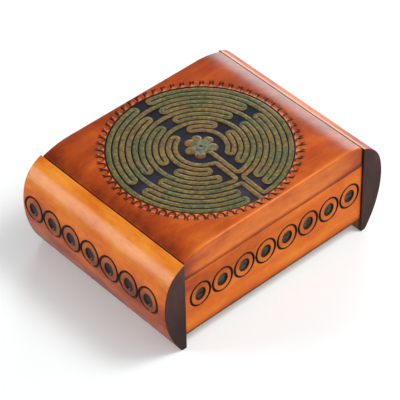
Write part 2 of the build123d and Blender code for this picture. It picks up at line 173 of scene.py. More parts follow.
def wood(name, deep, middle, pale, grain_axis, roughness=0.5, coat=0.0, coat_roughness=0.2,
         contrast=1.0, paint=None, pared=None):
    """Lime wood under a stain: bands, fine grain, pores and blotches run along the grain axis.

    Values on a piece's points colour it further: shade makes it lighter or darker, partly as stain and
    partly as painted light and shade; burn chars it, and also lays painted shade along seams, feet and
    ends; painted covers it with the paint, and chip lays bare the pared wood below, partly as a painted
    highlight.
    """
    material, tree, shader = new_material(name, roughness, coat, coat_roughness, gloss=wood_gloss)

    def spots(length, width):
        return pattern(tree, [1 / ((length if axis == grain_axis else width) * mm) for axis in (X, Y, Z)])

    grain = spots(10, 0.8)
    mottles = spots(4.5, 2.4)
    pores = fade(spots(2.5, 0.35), 0.6, 0.72)
    figure = pores * -0.12
    for kind, share in ((spots(46, 7), 0.55), (grain, 0.34), (mottles, 0.3), (spots(28, 16), 0.9)):
        figure = (kind - 0.5) * share + figure
    tone = figure * contrast + 0.5 + attribute(tree, "shade")
    colour = result(tree, "ShaderNodeValToRGB", {"Fac": tone}, "Color")
    stops = colour.socket.node.color_ramp.elements
    stops[0].position, stops[0].color = 0.1, deep
    stops[1].position, stops[1].color = 0.9, pale
    stops.new(0.5).color = middle
    if pared:
        colour = blend(attribute(tree, "chip"), colour, pared)
    burnt = (grain - 0.5) * 0.5 + attribute(tree, "burn")
    colour = blend(fade(burnt, 0.12, 0.85), colour, char)
    if paint:
        streaked = blend(fade(mottles, 0.4, 0.62), paint, char)
        colour = blend(fade(attribute(tree, "painted"), 0.2, 0.8), colour, streaked)
    plug(shader.inputs["Base Color"], colour)
    add_bump(shader, pores * -0.6 + grain, 0.25, wood_relief)
    return material


bare_wood = wood("bare_lime_wood", srgb(190, 148, 102), srgb(212, 174, 126), srgb(226, 194, 150), X, 0.6)


def dress(node_name, material):
    """Gives a node of the frame its finish."""
    mesh = nodes[node_name].data
    mesh.materials.clear()
    mesh.materials.append(material)


dress("base_board", bare_wood)

# Front and back panels
# Lime boards, rebated over the side walls. Rings of burnt grooves with sunk eyes stand in a
# row on the outer face, pressed in with a hot die and drilled, under orange stain and varnish.
both_sides = ("left", "right")
edge_round = 0.5 * mm
fine_step = 0.3 * mm
plain_step = 2.0 * mm
corner_steps = 3
rod_sides = 32
crisp_angle = math.radians(40)
beyond = 1.0 * mm             # cutters run past the faces they open
rebate_depth = 4.5 * mm
panel_thickness = 9.0 * mm
side_wall_inner_x = 57.35 * mm
ring_pitch = 16.0 * mm
ring_zone = 9.5 * mm          # half the height of the band that the rings take up
ring_groove_width = 1.05 * mm
ring_groove_depth = 0.9 * mm
eye_radius = 3.6 * mm
eye_depth = 1.2 * mm
ring_tallness = 1.14
panel_ring_count = 8
panel_ring_radius = 6.95 * mm
panel_ring_height = 32.7 * mm
panel_ring_shift = 1.1 * mm
panel_disc_burn = 0.24        # how brown the wood inside a ring is
# The painted shade lines along each panel's foot and along its seam under the lid
foot_shade_height = 1.2 * mm
seam_shade_height = 0.45 * mm
seam_shade_darkness = 0.62
edge_shade_margin = 0.02 * mm       # the top and bottom faces stay clean
end_margin = 0.2 * mm


def spaced(start, end, step):
    """Places from start to end, at most a step apart."""
    return np.linspace(start, end, max(2, int(math.ceil(abs(end - start) / step)) + 1))


def fine_between(low, high, fine_low, fine_high):
    """Places from low to high, close together in the fine stretch."""
    return np.concatenate([spaced(low, fine_low, plain_step)[:-1],
                           spaced(fine_low, fine_high, fine_step),
                           spaced(fine_high, high, plain_step)[1:]])


def rounded_corner(before, corner, after, radius):
    """Points that round a corner of an outline off."""
    before, corner, after = (np.array(p, float) for p in (before, corner, after))
    to_before = (before - corner) / np.linalg.norm(before - corner)
    to_after = (after - corner) / np.linalg.norm(after - corner)
    shares = np.linspace(0, 1, corner_steps + 1)
    return [corner + to_before * radius * (1 - t) ** 2 + to_after * radius * t ** 2 for t in shares]


def new_piece(name, mesh):
    """An object at the origin, with its place in its mesh."""
    piece = bpy.data.objects.new(name, mesh)
    bpy.context.scene.collection.objects.link(piece)
    return piece


def solid(name, points, faces):
    """A closed piece from points and faces, with its faces turned outwards."""
    mesh = bpy.data.meshes.new(name)
    mesh.from_pydata(np.asarray(points, float).tolist(), [], faces)
    work = bmesh.new()
    work.from_mesh(mesh)
    bmesh.ops.recalc_face_normals(work, faces=work.faces)
    work.to_mesh(mesh)
    work.free()
    mesh.polygons.foreach_set("use_smooth", [True] * len(mesh.polygons))
    return new_piece(name, mesh)


def lofted(name, rows):
    """A solid through rows of points, each a closed loop of the same count."""
    rows = np.array(rows)
    count, around = rows.shape[:2]
    corner = np.arange(count * around).reshape(count, around)
    after = np.roll(corner, -1, axis=1)
    quads = np.stack([corner[:-1], after[:-1], after[1:], corner[1:]], -1)
    faces = quads.reshape(-1, 4).tolist() + [corner[0].tolist(), corner[-1].tolist()]
    return solid(name, rows.reshape(-1, 3), faces)


def bar(outline, axis, start, end):
    """A straight bar, as a cutter: an outline in the two other axes, run along an axis."""
    others = [a for a in (X, Y, Z) if a != axis]
    rows = np.zeros((2, len(outline), 3))
    rows[:, :, others] = outline
    rows[0, :, axis] = start
    rows[1, :, axis] = end
    return lofted("cutter", rows)


def block(low, high):
    """A box, as a cutter."""
    outline = [(low[0], low[1]), (high[0], low[1]), (high[0], high[1]), (low[0], high[1])]
    return bar(outline, Z, low[2], high[2])


def rod(axis, place, radius, start, end):
    """A round bar, as a cutter; place is its middle in the two other axes."""
    turns = np.linspace(0, 2 * math.pi, rod_sides, endpoint=False)
    outline = np.column_stack([place[0] + radius * np.cos(turns), place[1] + radius * np.sin(turns)])
    return bar(outline, axis, start, end)


def plain_mesh(piece):
    """Turns a piece with its modifiers into a plain mesh."""
    bpy.context.view_layer.update()
    graph = bpy.context.evaluated_depsgraph_get()
    mesh = bpy.data.meshes.new_from_object(piece.evaluated_get(graph), depsgraph=graph)
    piece.modifiers.clear()
    piece.data = mesh
    return piece


def cut(piece, cutters):
    """Cuts away each cutter in turn, and removes it."""
    for cutter in cutters:
        cutting = piece.modifiers.new("cut", "BOOLEAN")
        cutting.operation = "DIFFERENCE"
        cutting.solver = "EXACT"
        cutting.object = cutter
        plain_mesh(piece)
        bpy.data.objects.remove(cutter)
    return piece


def new_tree(name, inputs):
    """An empty tree of geometry nodes with named inputs, each given by its kind and value."""
    tree = bpy.data.node_groups.new(name, "GeometryNodeTree")
    tree.is_modifier = True
    tree.interface.new_socket("Geometry", in_out="INPUT", socket_type="NodeSocketGeometry")
    for label, (kind, value) in inputs.items():
        socket = tree.interface.new_socket(label, in_out="INPUT", socket_type="NodeSocket" + kind)
        if value is not None:
            socket.default_value = value
    tree.interface.new_socket("Geometry", in_out="OUTPUT", socket_type="NodeSocketGeometry")
    given = tree.nodes.new("NodeGroupInput").outputs
    return tree, {socket.name: Signal(socket) for socket in given}


def end_tree(geometry, material, others=()):
    """Ends a tree: real geometry with its material, and other materials on chosen faces."""
    tree = geometry.tree
    geometry = result(tree, "GeometryNodeRealizeInstances", {"Geometry": geometry})
    for selection, finish in [(True, material), *others]:
        geometry = result(tree, "GeometryNodeSetMaterial", {
            "Geometry": geometry, "Selection": selection, "Material": finish})
    add_node(tree, "NodeGroupOutput", {"Geometry": geometry})


def run_tree(piece, tree, values):
    """Runs a tree on a piece with values for its named inputs, and keeps the plain result."""
    modifier = piece.modifiers.new(tree.name, "NODES")
    modifier.node_group = tree
    for item in tree.interface.items_tree:
        if item.in_out == "INPUT" and item.name in values:
            modifier[item.identifier] = values[item.name]
    return plain_mesh(piece)


def store(geometry, name, value):
    """Keeps a value on the points under a name."""
    return result(geometry.tree, "GeometryNodeStoreNamedAttribute", {
        "Geometry": geometry, "Name": name, "Value": value}, data_type="FLOAT", domain="POINT")


def joined_axes(x, y, z=0.0):
    """A place or direction from its three axes."""
    return result(x.tree, "ShaderNodeCombineXYZ", {0: x, 1: y, 2: z})


def distance(x, y):
    """How far a place is from the middle."""
    return result(x.tree, "ShaderNodeVectorMath", {0: joined_axes(x, y)}, "Value", operation="LENGTH")


def dot(first, second):
    """The share of one direction in another."""
    return result(first.tree, "ShaderNodeVectorMath", {0: first, 1: second}, "Value", operation="DOT_PRODUCT")


def largest(first, *others):
    """The largest of some signals."""
    for other in others:
        first = calc("MAXIMUM", first, other)
    return first


def sink(geometry, direction, depth):
    """Moves points against a direction, by a depth."""
    offset = result(geometry.tree, "ShaderNodeVectorMath", {0: direction, "Scale": depth * -1.0},
                    operation="SCALE")
    return result(geometry.tree, "GeometryNodeSetPosition", {"Geometry": geometry, "Offset": offset})


length = ("Float", 0.0)
finish_input = ("Material", None)


def make_ring_row():
    """Carves a row of burnt rings with sunk eyes in the face that looks one way."""
    tree, given = new_tree("burnt_ring_row", {
        "Row Direction": ("Vector", (1, 0, 0)), "Face Direction": ("Vector", (0, -1, 0)),
        "Ring Count": ("Float", 8.0), "Pitch": length, "Row Shift": length, "Row Height": length,
        "Ring Radius": length, "Groove Width": length, "Groove Depth": length,
        "Eye Radius": length, "Eye Depth": length, "Tallness": ("Float", 1.0), "Disc Burn": length,
        "Face Wood": finish_input, "End Wood": finish_input, "Inner Wood": finish_input})
    place = result(tree, "GeometryNodeInputPosition")
    normal = result(tree, "GeometryNodeInputNormal")
    outwards = dot(normal, given["Face Direction"])
    facing = outwards > 0.5
    # The nearest ring of the row, and the way to its middle
    along = dot(place, given["Row Direction"]) - given["Row Shift"]
    last = given["Ring Count"] - 1.0
    number = calc("ROUND", last * 0.5 + along / given["Pitch"])
    number = largest(calc("MINIMUM", number, last), 0.0)
    sideways = along - (number - last * 0.5) * given["Pitch"]
    upwards = (dot(place, (0, 0, 1)) - given["Row Height"]) / given["Tallness"]
    away = distance(sideways, upwards)
    # The burnt groove is wider at the ring's sides, and the eye is a shallow hollow
    aside = abs(sideways) / given["Ring Radius"]
    line_width = given["Groove Width"] * (aside * aside * 0.3 + 0.42)
    off_ring = abs(away - given["Ring Radius"]) / line_width
    off_eye = away / given["Eye Radius"]
    groove = fade(off_ring, 1.15, 0.3) * given["Groove Depth"]
    eye = fade(off_eye, 1.04, 0.8) * (off_eye * off_eye * -0.45 + 1.0) * given["Eye Depth"]
    disc = (away < given["Ring Radius"]) * given["Disc Burn"]
    burn = largest(fade(off_ring, 1.5, 0.7), fade(off_eye, 1.16, 0.96), disc)
    geometry = store(given["Geometry"], "burn", burn * facing)
    geometry = store(geometry, "painted", fade(off_eye, 0.88, 0.7) * facing)
    geometry = sink(geometry, normal, largest(groove, eye) * facing)
    at_end = abs(dot(normal, given["Row Direction"])) > 0.5
    end_tree(geometry, given["Inner Wood"], [
        (outwards > 0.15, given["Face Wood"]), (at_end, given["End Wood"])])
    return tree


ring_row = make_ring_row()
ring_sizes = {
    "Pitch": ring_pitch, "Groove Width": ring_groove_width, "Groove Depth": ring_groove_depth,
    "Eye Radius": eye_radius, "Eye Depth": eye_depth, "Tallness": ring_tallness}
panel_wood = wood("orange_stained_wood", srgb(140, 52, 14), srgb(206, 98, 22), srgb(234, 138, 36), X,
                  0.42, 0.18, 0.14, 0.7, paint=srgb(66, 70, 56))


def points_of(piece):
    """The places of all points of a piece, as three rows of numbers."""
    places = np.zeros(len(piece.data.vertices) * 3)
    piece.data.vertices.foreach_get("co", places)
    return places.reshape(-1, 3).T


def keep_value(piece, name, values):
    """Keeps a value on each point of a piece under a name."""
    kept = piece.data.attributes.get(name) or piece.data.attributes.new(name, "FLOAT", "POINT")
    kept.data.foreach_set("value", np.asarray(values, np.float32))


def kept_value(piece, name):
    """The value kept on each point of a piece under a name."""
    values = np.zeros(len(piece.data.vertices))
    piece.data.attributes[name].data.foreach_get("value", values)
    return values


def crisp(piece):
    """Smooth faces with sharp edges where they turn more, shaded by the larger faces."""
    piece.data.polygons.foreach_set("use_smooth", [True] * len(piece.data.polygons))
    piece.data.set_sharp_from_angle(angle=crisp_angle)
    weighting = piece.modifiers.new("even shading", "WEIGHTED_NORMAL")
    weighting.keep_sharp = True
    plain_mesh(piece)


def near(value, middle, width):
    """1 at the middle, and less and less away from it."""
    return np.exp(-((value - middle) / width) ** 2)


def panel(name, side, cutters):
    """One panel; side is -1 at the front and 1 at the back, where the board is turned round."""
    low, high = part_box(name)
    face_y = high.y if side > 0 else low.y
    inner_y = face_y - side * panel_thickness
    heights = fine_between(low.z + edge_round, high.z - edge_round,
                           panel_ring_height - ring_zone, panel_ring_height + ring_zone)
    outline = rounded_corner((inner_y, low.z), (face_y, low.z), (face_y, high.z), edge_round)
    outline += [(face_y, z) for z in heights[1:-1]]
    outline += rounded_corner((face_y, low.z), (face_y, high.z), (inner_y, high.z), edge_round)
    outline += [(inner_y, high.z), (inner_y, low.z)]
    places = spaced(low.x, high.x, fine_step)
    rows = [np.column_stack([np.full(len(outline), x), outline]) for x in places]
    piece = cut(lofted(name + "_wood", rows), cutters)
    run_tree(piece, ring_row, {
        **ring_sizes, "Row Direction": (1.0, 0.0, 0.0), "Face Direction": (0.0, float(side), 0.0),
        "Ring Count": float(panel_ring_count), "Ring Radius": panel_ring_radius,
        "Row Shift": -side * panel_ring_shift, "Row Height": panel_ring_height,
        "Disc Burn": panel_disc_burn, "Face Wood": panel_wood, "End Wood": bare_wood,
        "Inner Wood": bare_wood})
    crisp(piece)
    x, y, z = points_of(piece)
    # Paler above the foot; painted shade at the foot, under the lid and in the upper left corner beside the
    # cheek
    keep_value(piece, "shade", 0.04 + 0.1 * near(z, 13 * mm, 7 * mm)
               - 0.45 * near(z, low.z, 3.4 * mm)
               - 0.18 * near(z, 43 * mm, 8 * mm) * np.clip((40 * mm - x) / (70 * mm), 0, 1)
               - 0.16 * near(x, -62 * mm, 16 * mm) * near(z, 43 * mm, 14 * mm))
    # Painted shade: a dark line along the seam under the lid and one along the foot, kept off the faces
    seam_shade = seam_shade_darkness * near(z, high.z, seam_shade_height) * (z < high.z - edge_shade_margin)
    foot_shade = near(z, low.z, foot_shade_height) * (z > low.z + edge_shade_margin)
    edge_shade = np.maximum(seam_shade, foot_shade) * (np.abs(x) < high.x - end_margin)
    keep_value(piece, "burn", np.maximum(kept_value(piece, "burn"), edge_shade))
    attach(piece, "carcass")
    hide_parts(name)


def lap_cutters(side):
    """The two rebates and the groove for the base board in the front or the back panel."""
    half_length, face_y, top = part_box("back_panel")[1]
    base_low, base_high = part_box("base_board")
    lap = sorted((side * (face_y - rebate_depth), side * (face_y - panel_thickness - beyond)))
    tongue = sorted((side * base_high.y, side * (face_y - panel_thickness - beyond)))
    return [block((-half_length - beyond, lap[0], 0), (-side_wall_inner_x, lap[1], top + beyond)),
            block((side_wall_inner_x, lap[0], 0), (half_length + beyond, lap[1], top + beyond)),
            block((base_low.x, tongue[0], base_low.z), (base_high.x, tongue[1], base_high.z))]


leaf_thickness = 0.9 * mm
knuckle_hollow = 1.7 * mm
knuckle_play = 0.25 * mm


def hinge_cutters(seat_low, seat_high):
    """Seats of both hinges between two heights, with their knuckle hollows."""
    made = []
    for side in both_sides:
        low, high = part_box(side + "_hinge_body_leaf")
        pin = sum(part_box(side + "_hinge_pin"), Vector()) / 2
        made += [block((low.x, low.y, seat_low), (high.x, pin.y + knuckle_hollow, seat_high)),
                 rod(X, (pin.y, pin.z), knuckle_hollow, low.x - knuckle_play, high.x + knuckle_play)]
    return made


seam_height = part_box("back_panel")[1].z
panel("front_panel", -1, lap_cutters(-1))
panel("back_panel", 1, lap_cutters(1) + hinge_cutters(seam_height - leaf_thickness, seam_height + beyond))

# Side walls
# Plain lime boards between the panels, hidden by the cheeks until these slide back.
# Each has the upright channel of a bolt cut in its outer face.
wall_wood = wood("oiled_lime_wood", srgb(158, 102, 58), srgb(186, 128, 78), srgb(204, 152, 100), Y, 0.5, 0.2)
for side in both_sides:
    dress(side + "_side_wall", wall_wood)

# Rails and stop pins
# Dovetail rails and turned pins of planed beech, waxed so that the cheeks run on them.
# Two brass screws hold each rail from inside the box.
rail_wood = wood("planed_beech", srgb(112, 70, 40), srgb(142, 94, 56), srgb(164, 116, 74), Y,
                 0.38, 0.25, 0.25)
brushing_depth = 0.02 * mm


def metal(name, colour, worn_colour, roughness):
    """Brushed metal with faint tarnish."""
    material, tree, shader = new_material(name, roughness, metallic=1.0)
    tarnish = fade(pattern(tree, [260] * 3, 4.0), 0.4, 0.65)
    plug(shader.inputs["Base Color"], blend(tarnish, colour, worn_colour))
    add_bump(shader, pattern(tree, [9000, 1200, 1200], 2.0), 0.2, brushing_depth)
    return material


brass = metal("rolled_brass", srgb(214, 172, 96), srgb(166, 122, 62), 0.28)
for side in both_sides:
    dress(side + "_rail", rail_wood)
    dress(side + "_stop_pin", rail_wood)
    dress(side + "_rail_screws", brass)

# Bolts, keepers and strike plates
# The bolts are slips of dark waxed beech that slide in the wall's channels behind brass straps.
# Pushed up, they enter the brass plates let into the lid; small brass screws hold the brass.
bolt_wood = wood("waxed_beech", srgb(76, 40, 20), srgb(106, 58, 30), srgb(130, 78, 44), Z, 0.3, 0.4, 0.15)
for side in both_sides:
    dress(side + "_bolt", bolt_wood)
    for part in ("bolt_keeper", "keeper_screws", "strike_plate"):
        dress(f"{side}_{part}", brass)
dress("strike_screws", brass)

# Hinges
# Two small brass butts let into the back panel and the lid, with brass screws and pins.
for side in both_sides:
    for part in ("hinge_body_leaf", "hinge_lid_leaf", "hinge_pin"):
        dress(f"{side}_{part}", brass)
for name in ("hinge_body_screws", "hinge_lid_screws"):
    dress(name, brass)

# Lid board
# One thick plank with rounded shoulders. A round field is sunk in its top for the labyrinth, and
# a ring of burnt scallops, scooped with a gouge, runs round it. Stained darker than the cheeks.
lid_low, lid_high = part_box("lid_board")
shoulder_width = 19.0 * mm
shoulder_drop = 3.6 * mm
lid_side_gap = 0.6 * mm
lid_edge_round = 1.2 * mm
lid_side_round = 0.3 * mm
lid_back_chamfer = 1.0 * mm
lid_edge_steps = 4
seam_row_height = 3.0 * mm    # up to here the lid's edge may darken towards the seam
hair = 0.01 * mm
bolt_thickness = 3.6 * mm
bolt_travel = 6.5 * mm
bolt_play = 0.2 * mm
underside_round = 0.3 * mm
field_radius = 52.7 * mm
field_middle = Vector((-1.6, 0.4, 0.0)) * mm    # laid out by hand, a little off the lid's middle
field_depth = 0.8 * mm
field_rings = np.array([9, 18, 27, 36, 45, 52]) * mm    # of points, on the sunk field
scallop_count = 64
scallop_columns = 20
scallop_radius = 1.85 * mm
scallop_middle = 55.1 * mm
scallop_end = 56.5 * mm
scallop_depth = 0.45 * mm
scallop_line = 0.5 * mm
scallop_turn = 18.3           # degrees from the front to the first burnt line
scallop_drift = 1.7           # degrees that the hand-set spacing strays, one way and back
scallop_drift_turn = 30.0     # degrees from the front, where it has strayed most
scallop_step = 0.28 * mm      # between the rings of points in the scalloped band
frame_rows = 8                # from that band out to the lid's edges
shoulder_radius = (shoulder_width ** 2 + shoulder_drop ** 2) / (2 * shoulder_drop)
flat_half = lid_high.x + lid_side_gap - shoulder_width


def lid_surface(x):
    """Height of the lid's top, which falls away at the shoulders."""
    over = np.maximum(np.abs(x) - flat_half, 0)
    return lid_high.z - shoulder_radius + np.sqrt(shoulder_radius ** 2 - over ** 2)


def ring_of(radius, columns, sunk=0.0):
    """A circle of points on the lid's top, or sunk below it, from the front round to the right."""
    turns = np.linspace(0, 2 * math.pi, columns, endpoint=False)
    x = field_middle.x + radius * np.sin(turns)
    return np.column_stack([x, field_middle.y - radius * np.cos(turns), lid_surface(x) - sunk])


def frame_points(columns):
    """Points round the lid's rectangle, as many as round a circle, with its corners among them."""
    half_x = lid_high.x - lid_side_round
    half_y = lid_high.y - lid_edge_round
    turns = np.linspace(0, 2 * math.pi, columns, endpoint=False)
    corner = math.atan2(half_x, half_y)
    for turn in (corner, math.pi - corner, math.pi + corner, 2 * math.pi - corner):
        turns[np.argmin(np.abs(turns - turn))] = turn
    x, y = np.sin(turns), -np.cos(turns)
    with np.errstate(divide="ignore"):
        reach = np.minimum(half_x / np.abs(x), half_y / np.abs(y))
    return np.column_stack([x * reach, y * reach])


def lid_mesh():
    """The whole lid: sunk field, scalloped ring, top, rounded edges, sides and underside."""
    columns = scallop_count * scallop_columns
    coarse = columns // 4
    points, faces = [], []

    def add_row(row):
        """Adds a closed row of points, and joins it to the one before."""
        first = sum(len(r) for r in points)
        points.append(row)
        outer = list(range(first, first + len(row)))
        if len(points) > 1:
            inner = list(range(first - len(points[-2]), first))
            share = len(outer) // len(inner)
            for i in range(len(inner)):
                far = [outer[(i * share + j) % len(outer)] for j in range(share, -1, -1)]
                faces.append([inner[i], inner[(i + 1) % len(inner)], *far])
        return outer

    faces.append(add_row(ring_of(field_rings[0], coarse, field_depth)))
    for radius in field_rings[1:]:
        add_row(ring_of(radius, coarse, field_depth))
    add_row(ring_of(field_radius, columns, field_depth))
    add_row(ring_of(field_radius, columns, field_depth / 2))
    for radius in spaced(field_radius, scallop_end, scallop_step):
        add_row(ring_of(radius, columns))
    circle = points[-1][:, :2]
    rectangle = frame_points(columns)
    for share in np.linspace(0, 1, frame_rows + 1)[1:]:
        spot = circle + (rectangle - circle) * share
        add_row(np.column_stack([spot, lid_surface(spot[:, 0])]))
    # Points at a side or an end go round that edge, and those at a corner round both
    at_side = np.abs(rectangle[:, 0]) > lid_high.x - lid_side_round - hair
    at_end = np.abs(rectangle[:, 1]) > lid_high.y - lid_edge_round - hair
    signs = np.sign(rectangle)
    rounds = np.column_stack([at_side * lid_side_round, at_end * lid_edge_round])
    top = lid_surface(rectangle[:, 0])
    for turn in np.linspace(0, math.pi / 2, lid_edge_steps + 1)[1:]:
        edge = rectangle + signs * np.sin(turn) * rounds
        add_row(np.column_stack([edge, top - (1 - np.cos(turn)) * rounds.max(axis=1)]))
    for height, inset in ((seam_row_height, 0), (underside_round, 0), (0, underside_round)):
        drawn_in = edge - signs * np.column_stack([at_side, at_end]) * inset
        underside = add_row(np.column_stack([drawn_in, np.full(columns, lid_low.z + height)]))
    faces.append(underside)
    return solid("lid_board_wood", np.concatenate(points), faces)


def axes_of(place):
    """The three axes of a place or direction."""
    parts = add_node(place.tree, "ShaderNodeSeparateXYZ", {0: place})
    return [Signal(part) for part in parts.outputs]


def make_scallop_ring():
    """Scoops a ring of round-ended scallops with burnt outlines, and paints the sunk field."""
    tree, given = new_tree("scallop_ring", {
        "Scallop Count": ("Float", 64.0), "First Turn": length, "Drift": length, "Field Radius": length,
        "Scallop Radius": length, "Scallop Middle": length, "Scallop End": length, "Depth": length,
        "Line Width": length, "Middle": ("Vector", (0, 0, 0)), "Lid Wood": finish_input,
        "Ground Paint": finish_input, "Under Wood": finish_input})
    place = result(tree, "ShaderNodeVectorMath", {
        0: result(tree, "GeometryNodeInputPosition"), 1: given["Middle"]}, operation="SUBTRACT")
    x, y, _ = axes_of(place)
    radius = distance(x, y)
    rim = radius - given["Field Radius"]
    past_middle = radius - given["Scallop Middle"]
    upright = dot(result(tree, "GeometryNodeInputNormal"), (0, 0, 1))
    on_ring = (upright > 0.5) * (rim > 0.05 * mm)
    # Each scallop is a half circle that opens outwards; edge is the way out of the nearest one
    turn = calc("DEGREES", calc("ARCTAN2", x, y * -1.0))
    stray = calc("COSINE", calc("RADIANS", turn - scallop_drift_turn)) * given["Drift"]
    step = 360.0 / given["Scallop Count"]
    share = calc("FRACT", (stray + turn - given["First Turn"]) / step) - 0.5
    across = calc("RADIANS", share * step) * radius
    edge = distance(across, calc("MINIMUM", past_middle, 0.0)) - given["Scallop Radius"]
    off_line = abs(edge) / given["Line Width"]
    runs_out = fade(radius, given["Scallop End"] + 0.3 * mm, given["Scallop Middle"])
    depth = fade(edge / given["Line Width"], 0.6, -1.2) * given["Depth"] * runs_out * on_ring
    # Burnt lines, browned wood between them, the field's scorched rim, and pale chip-cut wood near it that is
    # partly a painted highlight
    ends = fade(radius, given["Scallop End"] + 0.8 * mm, given["Scallop End"])
    strength = fade(past_middle, -1.2 * mm, 0.3 * mm) * 0.25 + 0.7
    line = fade(off_line, 1.35, 0.45) * strength * ends * on_ring
    between = fade(edge, 0.0, 0.35 * mm) * fade(rim, 2.2 * mm, 2.9 * mm) * ends * on_ring
    at_rim = fade(rim, 0.35 * mm, 0.0) * (rim > -0.05 * mm)
    # Pale pared wood on the spandrels near the rim, partly a painted highlight on the cut facets
    chips_and_highlight = fade(off_line, 1.0, 1.8) * fade(edge, 0.0, 0.2 * mm) * fade(rim, 1.9 * mm, 1.1 * mm)
    geometry = store(given["Geometry"], "burn", largest(line, at_rim * 0.6, between * 0.62))
    geometry = store(geometry, "chip", chips_and_highlight * on_ring * 0.35)
    geometry = sink(geometry, (0, 0, 1), depth)
    in_field = (rim < 0.0) * (upright > 0.3)
    end_tree(geometry, given["Lid Wood"], [
        (in_field, given["Ground Paint"]), (upright < -0.9, given["Under Wood"])])
    return tree


def pocket_cutters():
    """Pockets in the lid's underside for the bolts, their strike plates and the hinges."""
    back_y, bottom = lid_high.y, lid_low.z
    corner = (back_y + beyond, bottom - beyond)
    chamfer = [(back_y - lid_back_chamfer - beyond, corner[1]), corner,
               (corner[0], bottom + lid_back_chamfer + beyond)]
    made = [bar(chamfer, X, lid_low.x - beyond, lid_high.x + beyond)]
    for side in both_sides:
        low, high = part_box(side + "_strike_plate")
        made.append(block((low.x, low.y, low.z - beyond), high))
        bolt_low, bolt_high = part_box(side + "_bolt")
        inner, outer = sorted((bolt_low.x, bolt_high.x), key=abs)
        outer = inner + math.copysign(bolt_thickness, inner)
        slack = math.copysign(bolt_play, inner)
        xs = sorted((inner - slack, outer + slack))
        made.append(block((xs[0], bolt_low.y - bolt_play, bottom - beyond),
                          (xs[1], bolt_high.y + bolt_play, bolt_high.z + bolt_travel + bolt_play)))
    return made + hinge_cutters(bottom - beyond, bottom + leaf_thickness)


lid_wood = wood("red_brown_stained_wood", srgb(108, 36, 13), srgb(172, 72, 22), srgb(218, 116, 39), X,
                0.4, 0.28, 0.14, 0.7, pared=srgb(238, 168, 124))
ground_paint = wood("blue_black_ground", srgb(18, 20, 26), srgb(32, 34, 42), srgb(58, 58, 66), X,
                    0.5, 0.3, 0.2)
lid = run_tree(cut(lid_mesh(), pocket_cutters()), make_scallop_ring(), {
    "Scallop Count": float(scallop_count), "First Turn": scallop_turn, "Drift": scallop_drift,
    "Field Radius": field_radius, "Scallop Radius": scallop_radius, "Scallop Middle": scallop_middle,
    "Scallop End": scallop_end, "Depth": scallop_depth, "Line Width": scallop_line, "Middle": field_middle,
    "Lid Wood": lid_wood, "Ground Paint": ground_paint, "Under Wood": bare_wood})
crisp(lid)
x, y, z = points_of(lid)
# Stain and painted light together: paler along the front, with a painted highlight on the rounded front edge;
# painted shade along the cheeks, on the right shoulder, towards the back and along the seam below
keep_value(lid, "shade", 0.2 * near(y, -60 * mm, 13 * mm) * np.clip((x + 66 * mm) / (20 * mm), 0, 1)
           + 0.03 * near(y, lid_low.y, 0.8 * mm)
           + 0.3 * near(y, lid_low.y + 0.9 * mm, 0.5 * mm)
           - 0.26 * near(x, -66 * mm, 7 * mm)
           - 0.42 * near(x, 68 * mm, 12 * mm)
           - 0.1 * near(y, 60 * mm, 20 * mm)
           - 0.5 * near(z, lid_low.z, 1.2 * mm) * (z > lid_low.z + 0.1 * mm))
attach(lid, "lid")
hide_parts("lid_board")

# Labyrinth
# One path left standing in the sunk field, which winds through eleven circuits from the front
# edge to the middle. Carved by hand and painted a mottled olive green; it ends at a rosette.
circuit_count = 11
labyrinth_radius = 52.3 * mm
centre_radius = 12.7 * mm
circuit_width = (labyrinth_radius - centre_radius) / circuit_count
path_width = 2.8 * mm
path_half_height = 0.46 * mm
turn_tip_gap = 3.15 * mm      # tip of a turn to its axis
entry_tip_gap = 3.3 * mm      # tip of a turn to the entry path
axis_shifts = np.array([0.8, -0.7, 0.1, -3.7, 0.8]) * mm    # of each quarter, as set out by eye
heart_middle = np.array([0.0, 0.3]) * mm    # of the innermost rings; the outermost share the field's
rim_play = 0.1 * mm           # between the path's first end and the field's wall
corner_radius = 2.05 * mm
path_step = 1.1 * mm
turn_steps = 12
path_sides = 16
path_squareness = 0.5
knife_marks = 420.0           # per metre, as are the two below
specks_of_paint = 420.0
clouds_of_paint = 75.0
path_ripple = 0.12 * mm
stroke_pitch = 0.7 * mm
rosette_columns = 360
rosette_heart_radius = 6.2 * mm
rosette_petal_radius = 3.15 * mm
rosette_petal_middle = 6.8 * mm
rosette_petal_turns = [math.radians(side * (44 + 57 * i)) for i in range(3) for side in (-1, 1)]
rosette_middle = np.array([-0.2, 1.3]) * mm
rosette_shares = (0.04, 0.09, 0.13, 0.2, 0.3, 0.4, 0.5, 0.6, 0.7, 0.8, 0.88)    # of its reach, flat on top
rosette_edge = ((0.94, 0.03), (0.98, 0.12), (1.0, 0.3), (1.0, 0.9))    # shares, and drops in mm
rosette_below_top = 0.04 * mm
petal_groove_start = 4.9 * mm
petal_groove_depth = 0.6 * mm
dot_radius = 0.9 * mm
dot_depth = 0.35 * mm
dot_paint_radius = 1.2 * mm
path_end_depth = 1.0 * mm     # how far the path's last end runs into the rosette
# Each stretch of the path: its circuit, counted from the rim, and the quarters of a turn from the
# front, round by the left, between which it runs
walk = ((5, 0, 1), (6, 1, 0), (11, 0, 2), (10, 2, 0), (9, 0, 1), (8, 1, 0), (7, 0, 2), (8, 2, 1), (9, 1, 3),
        (10, 3, 2), (11, 2, 4), (10, 4, 3), (9, 3, 4), (8, 4, 2), (7, 2, 3), (6, 3, 1), (5, 1, 2), (4, 2, 0),
        (3, 0, 1), (2, 1, 0), (1, 0, 2), (2, 2, 1), (3, 1, 3), (4, 3, 2), (5, 2, 4), (4, 4, 3), (3, 3, 4),
        (2, 4, 2), (1, 2, 4), (6, 4, 3), (7, 3, 4))


def circuit_radius(circuit):
    """Radius of the middle of a circuit."""
    return labyrinth_radius - (circuit - 0.5) * circuit_width


def polar(radius, turn):
    """A place on the lid, by its radius and its turn from the front round by the left."""
    return np.array([-radius * math.sin(turn), -radius * math.cos(turn)])


